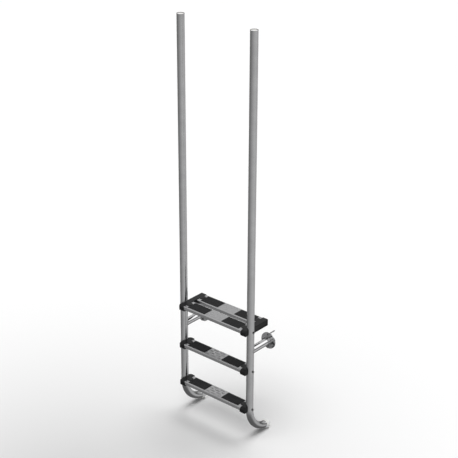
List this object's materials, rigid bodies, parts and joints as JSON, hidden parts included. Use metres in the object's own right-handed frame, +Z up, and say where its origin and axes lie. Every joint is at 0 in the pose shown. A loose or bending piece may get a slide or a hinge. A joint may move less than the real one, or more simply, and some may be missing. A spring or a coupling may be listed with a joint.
{
  "type": "wall fixed boarding ladder",
  "caption": "Stainless steel boarding ladder with bent tube uprights, ribbed treads in black end caps, and round wall flanges on short stand-off tubes.",
  "frame": {"origin": "on the wall plane, midway between the centres of the two wall flanges", "axes": "+X to the right of a person facing the wall, +Y into the wall, +Z up along the uprights"},
  "size_m": [0.6, 0.2687, 2.4144],
  "materials": {
    "satin_steel": "satin ground stainless tube and sheet",
    "polished_steel": "mirror polished stainless",
    "fastener_steel": "plain stainless fastener",
    "black_plastic": "moulded black nylon with a fine texture",
    "black_rubber": "ribbed black rubber",
    "white_plastic": "smooth white moulding"
  },
  "bodies": {
    "ladder": {"left_upright": "satin_steel", "left_standoff_tube": "satin_steel", "left_wall_flange": "polished_steel", "left_wall_bumper": "white_plastic", "left_top_plug": "white_plastic", "right_upright": "satin_steel", "right_standoff_tube": "satin_steel", "right_wall_flange": "polished_steel", "right_wall_bumper": "white_plastic", "right_top_plug": "white_plastic", "bottom_plank": "satin_steel", "bottom_left_grip_pad": "black_rubber", "bottom_right_grip_pad": "black_rubber", "middle_plank": "satin_steel", "middle_left_grip_pad": "black_rubber", "middle_right_grip_pad": "black_rubber", "top_front_plank": "satin_steel", "top_front_left_grip_pad": "black_rubber", "top_front_right_grip_pad": "black_rubber", "top_rear_plank": "satin_steel", "top_rear_left_grip_pad": "black_rubber", "top_rear_right_grip_pad": "black_rubber", "bottom_left_end_cap": "black_plastic", "bottom_left_tread_bolt": "fastener_steel", "bottom_left_captive_nut": "fastener_steel", "bottom_left_saddle_washer": "black_plastic", "bottom_right_end_cap": "black_plastic", "bottom_right_tread_bolt": "fastener_steel", "bottom_right_captive_nut": "fastener_steel", "bottom_right_saddle_washer": "black_plastic", "middle_left_end_cap": "black_plastic", "middle_left_tread_bolt": "fastener_steel", "middle_left_captive_nut": "fastener_steel", "middle_left_saddle_washer": "black_plastic", "middle_right_end_cap": "black_plastic", "middle_right_tread_bolt": "fastener_steel", "middle_right_captive_nut": "fastener_steel", "middle_right_saddle_washer": "black_plastic", "top_left_end_cap": "black_plastic", "top_left_tread_bolt": "fastener_steel", "top_left_captive_nut": "fastener_steel", "top_left_saddle_washer": "black_plastic", "top_right_end_cap": "black_plastic", "top_right_tread_bolt": "fastener_steel", "top_right_captive_nut": "fastener_steel", "top_right_saddle_washer": "black_plastic"},
    "left_upper_wall_screw_body": {"left_upper_wall_screw": "fastener_steel"},
    "left_lower_wall_screw_body": {"left_lower_wall_screw": "fastener_steel"},
    "right_upper_wall_screw_body": {"right_upper_wall_screw": "fastener_steel"},
    "right_lower_wall_screw_body": {"right_lower_wall_screw": "fastener_steel"}
  },
  "joints": [
    {"name": "left_upper_screw_slide", "type": "slide", "parent": "ladder", "child": "left_upper_wall_screw_body", "axis": [0, -1, 0], "range_m": [0, 0.055]},
    {"name": "left_lower_screw_slide", "type": "slide", "parent": "ladder", "child": "left_lower_wall_screw_body", "axis": [0, -1, 0], "range_m": [0, 0.055]},
    {"name": "right_upper_screw_slide", "type": "slide", "parent": "ladder", "child": "right_upper_wall_screw_body", "axis": [0, -1, 0], "range_m": [0, 0.055]},
    {"name": "right_lower_screw_slide", "type": "slide", "parent": "ladder", "child": "right_lower_wall_screw_body", "axis": [0, -1, 0], "range_m": [0, 0.055]}
  ]
}
